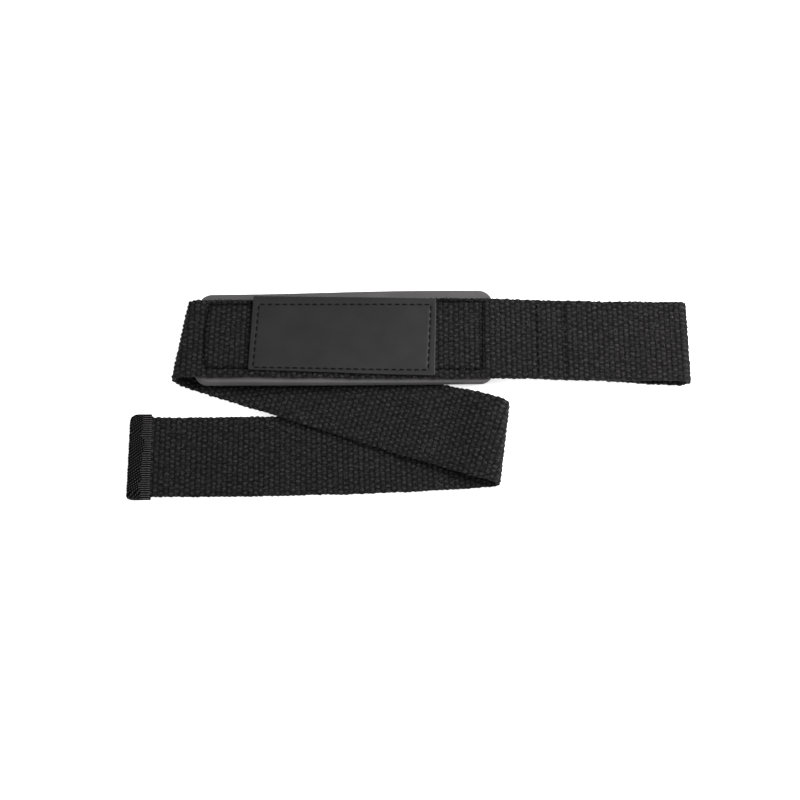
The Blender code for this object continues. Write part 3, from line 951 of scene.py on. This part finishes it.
def mix(tree, factor, first, second, kind="MIX"):
    """Colour mix."""
    node = tree.nodes.new("ShaderNodeMix")
    node.data_type = "RGBA"
    node.blend_type = kind
    for key, value in (("Factor", factor), ("A", first), ("B", second)):
        socket = node.inputs[key]
        if isinstance(value, bpy.types.NodeSocket):
            tree.links.new(value, socket)
        else:
            socket.default_value = value if isinstance(value, float) else (*value, 1.0)
    return node.outputs["Result"]


def arithmetic(tree, kind, first, second=None):
    """Math node on sockets or numbers."""
    node = tree.nodes.new("ShaderNodeMath")
    node.operation = kind
    for socket, value in zip(node.inputs, (first, second)):
        if value is None:
            continue
        if isinstance(value, (int, float)):
            socket.default_value = value
        else:
            tree.links.new(value, socket)
    return node.outputs["Value"]


def bump(tree, shader, height, strength, distance, before=None):
    """Bump from a height onto the shader."""
    node = tree.nodes.new("ShaderNodeBump")
    node.inputs["Strength"].default_value = strength
    node.inputs["Distance"].default_value = distance
    tree.links.new(height, node.inputs["Height"])
    if before is not None:
        tree.links.new(before, node.inputs["Normal"])
    if shader is not None:
        tree.links.new(node.outputs["Normal"], shader.inputs["Normal"])
    return node.outputs["Normal"]


def shade_by_rise(tree, colour, stops):
    """Paint shade into the hollows of a piece's relief and painted highlights onto its crowns; stops are
    (rise, factor).
    """
    rise = tree.nodes.new("ShaderNodeAttribute")
    rise.attribute_name = "rise"
    top = max(factor for _, factor in stops)
    shade = ramp(tree, rise.outputs["Fac"], [(at, (factor / top,) * 3) for at, factor in stops])
    lit = mix(tree, 1.0, colour, (top,) * 3, "MULTIPLY")
    return mix(tree, 1.0, lit, shade, "MULTIPLY")


def coordinates_of(tree, kind):
    """Object or UV coordinates."""
    return tree.nodes.new("ShaderNodeTexCoord").outputs[kind]


def cotton():
    """Fuzzy black cotton: twisted yarn, fine fibres, light specks that are partly lint and partly painted
    glints off the fibres, with painted shade in the weave's hollows and painted highlights on its crowns.
    """
    made, tree, shader = nodes_of("cotton webbing", grey(0.022), 0.95, Sheen_Weight=0.04, Sheen_Roughness=0.5)
    shader.inputs["Specular IOR Level"].default_value = 0.08
    place_at = coordinates_of(tree, "Object")
    fibre = noise(tree, 1500.0, 4.0, place_at, 0.75)
    yarn = noise(tree, 420.0, 2.0, place_at)
    cloud = noise(tree, 28.0, 2.0, place_at)
    # Light specks from the fibre noise: partly the cotton's lint, partly painted glints off its fibres
    colour = ramp(tree, fibre, [(0.34, grey(0.003)), (0.52, grey(0.013)), (0.70, grey(0.052))])
    colour = mix(tree, arithmetic(tree, "MULTIPLY", yarn, 0.40), colour, grey(0.017))
    colour = mix(tree, arithmetic(tree, "MULTIPLY", cloud, 0.20), colour, grey(0.011))
    # Painted shade in the weave's hollows and seam holes, painted highlights on the yarn crowns
    colour = shade_by_rise(tree, colour, [(0.0, 0.03), (0.20, 0.22), (0.45, 0.62), (0.75, 1.02), (1.0, 1.40)])
    tree.links.new(colour, shader.inputs["Base Color"])
    pattern = coordinates_of(tree, "UV")
    twist = tree.nodes.new("ShaderNodeTexWave")
    twist.wave_type = "BANDS"
    twist.bands_direction = "DIAGONAL"
    twist.inputs["Scale"].default_value = 1.1
    twist.inputs["Distortion"].default_value = 1.2
    twist.inputs["Detail"].default_value = 2.0
    tree.links.new(pattern, twist.inputs["Vector"])
    first = bump(tree, None, twist.outputs["Fac"], 0.5, 0.00012)
    bump(tree, shader, fibre, 0.8, 0.00022, before=first)
    return made


def thread_material():
    """Black sewing thread with a slight gloss."""
    made, tree, shader = nodes_of("sewing thread", grey(0.004), 0.65)
    shader.inputs["Specular IOR Level"].default_value = 0.03
    place_at = coordinates_of(tree, "Object")
    fibre = noise(tree, 5200.0, 2.0, place_at)
    tree.links.new(ramp(tree, fibre, [(0.3, grey(0.001)), (0.8, grey(0.009))]), shader.inputs["Base Color"])
    bump(tree, shader, fibre, 0.5, 0.0001)
    return made


def lint():
    """Pale dusty cotton fibre."""
    made, tree, shader = nodes_of("cotton fibre", grey(0.09), 0.9)
    shader.inputs["Specular IOR Level"].default_value = 0.1
    dust = noise(tree, 300.0, 1.0, coordinates_of(tree, "Object"))
    tree.links.new(ramp(tree, dust, [(0.3, grey(0.03)), (0.7, grey(0.16))]), shader.inputs["Base Color"])
    return made


def foam():
    """Grey closed-cell foam, finely grained."""
    made, tree, shader = nodes_of("grey foam", grey(0.075), 0.80)
    shader.inputs["Specular IOR Level"].default_value = 0.15
    place_at = coordinates_of(tree, "Object")
    grain = noise(tree, 1500.0, 3.0, place_at, 0.6)
    smear = noise(tree, 60.0, 3.0, place_at)
    colour = ramp(tree, smear, [(0.25, grey(0.064)), (0.5, grey(0.071)), (0.78, grey(0.082))])
    colour = mix(tree, arithmetic(tree, "MULTIPLY", grain, 0.35), colour, grey(0.052))
    tree.links.new(colour, shader.inputs["Base Color"])
    bump(tree, shader, grain, 0.5, 0.00012)
    return made


def rubber():
    """Satin black label with a fine leathery grain and faint rubbing marks."""
    made, tree, shader = nodes_of("label rubber", grey(0.014), 0.46)
    shader.inputs["Specular IOR Level"].default_value = 0.17
    place_at = coordinates_of(tree, "Object")
    grain = noise(tree, 2400.0, 2.0, place_at)
    smear = noise(tree, 90.0, 4.0, place_at)
    tree.links.new(ramp(tree, smear, [(0.3, grey(0.0125)), (0.7, grey(0.0160))]), shader.inputs["Base Color"])
    rough = arithmetic(tree, "ADD", arithmetic(tree, "MULTIPLY", smear, 0.16), 0.38)
    tree.links.new(rough, shader.inputs["Roughness"])
    bump(tree, shader, grain, 0.25, 0.00005)
    return made


def tape_cloth():
    """Black ribbed tape, with painted highlights on its ribs and painted shade between them."""
    made, tree, shader = nodes_of("binding tape", grey(0.010), 0.60, Sheen_Weight=0.0)
    shader.inputs["Specular IOR Level"].default_value = 0.02
    place_at = coordinates_of(tree, "Object")
    fibre = noise(tree, 3200.0, 3.0, place_at, 0.7)
    colour = ramp(tree, fibre, [(0.3, grey(0.006)), (0.6, grey(0.015)), (0.85, grey(0.05))])
    # Painted highlights on the ribs and crinkles, painted shade in the hollows between them
    colour = shade_by_rise(tree, colour, [(0.0, 0.0), (0.45, 0.05), (0.8, 1.6), (1.0, 5.5)])
    tree.links.new(colour, shader.inputs["Base Color"])
    bump(tree, shader, fibre, 0.7, 0.00016)
    return made


def wear(piece, material, stands_for=None):
    """Give a piece its material and its body, and hide the imported node that it stands for."""
    piece.data.materials.clear()
    piece.data.materials.append(material)
    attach(piece, "root")
    if stands_for:
        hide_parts(stands_for)


def area_light(name, where, aim, size, power, colour=(1.0, 1.0, 1.0)):
    """Soft square light aimed at a point."""
    light = bpy.data.lights.new(name, "AREA")
    light.size = size
    light.energy = power
    light.color = colour
    lamp = bpy.data.objects.new(name, light)
    bpy.context.scene.collection.objects.link(lamp)
    lamp.location = where
    lamp.rotation_euler = (Vector(aim) - Vector(where)).to_track_quat("-Z", "Y").to_euler()
    return lamp


def build_stage():
    """White floor, soft light and a bright white surround."""
    bpy.ops.mesh.primitive_plane_add(size=6.0)
    floor = bpy.context.object
    floor.name = "floor"
    made, tree, shader = nodes_of("white floor", (0.86, 0.86, 0.86), 0.9)
    shader.inputs["Emission Color"].default_value = (1.0, 1.0, 1.0, 1.0)
    shader.inputs["Emission Strength"].default_value = FLOOR_GLOW
    floor.data.materials.append(made)
    world = bpy.data.worlds.new("surround")
    world.use_nodes = True
    world.node_tree.nodes["Background"].inputs["Color"].default_value = (1.0, 1.0, 1.0, 1.0)
    world.node_tree.nodes["Background"].inputs["Strength"].default_value = WORLD_LIGHT
    bpy.context.scene.world = world
    for name, where, size, power in LIGHTS:
        area_light(name, where, (0.0, 0.0, 0.0), size, power)
    bpy.context.scene.view_settings.view_transform = "Standard"


def build_camera():
    """Camera at the photograph's angle."""
    look = Vector(CAMERA_LOOK) + Vector((SHIFT[0], SHIFT[1], 0.0))
    back = Vector((0.0, -cos(CAMERA_ANGLE), sin(CAMERA_ANGLE)))
    data = bpy.data.cameras.new("camera")
    data.lens = LENS
    data.sensor_width = SENSOR
    data.clip_start = 0.01
    camera = bpy.data.objects.new("camera", data)
    bpy.context.scene.collection.objects.link(camera)
    camera.location = look + CAMERA_DISTANCE * back
    camera.rotation_euler = (-back).to_track_quat("-Z", "Y").to_euler()
    bpy.context.scene.camera = camera


def main():
    """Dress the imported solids, then set the stage."""
    cotton_look, thread_look = cotton(), thread_material()
    seams = build_seams()
    for piece, length in build_strap():
        wear(piece, cotton_look, "webbing")
    for piece in seams:
        wear(piece, thread_look)
    wear(build_fuzz(), lint())
    label, label_thread = build_label()
    wear(label, rubber(), "label_patch")
    wear(label_thread, thread_look)
    pad = build_pad()
    wear(pad, foam(), "wrist_pad")
    tape = build_tape()
    wear(tape, tape_cloth(), "end_binding")
    build_stage()
    build_camera()


main()
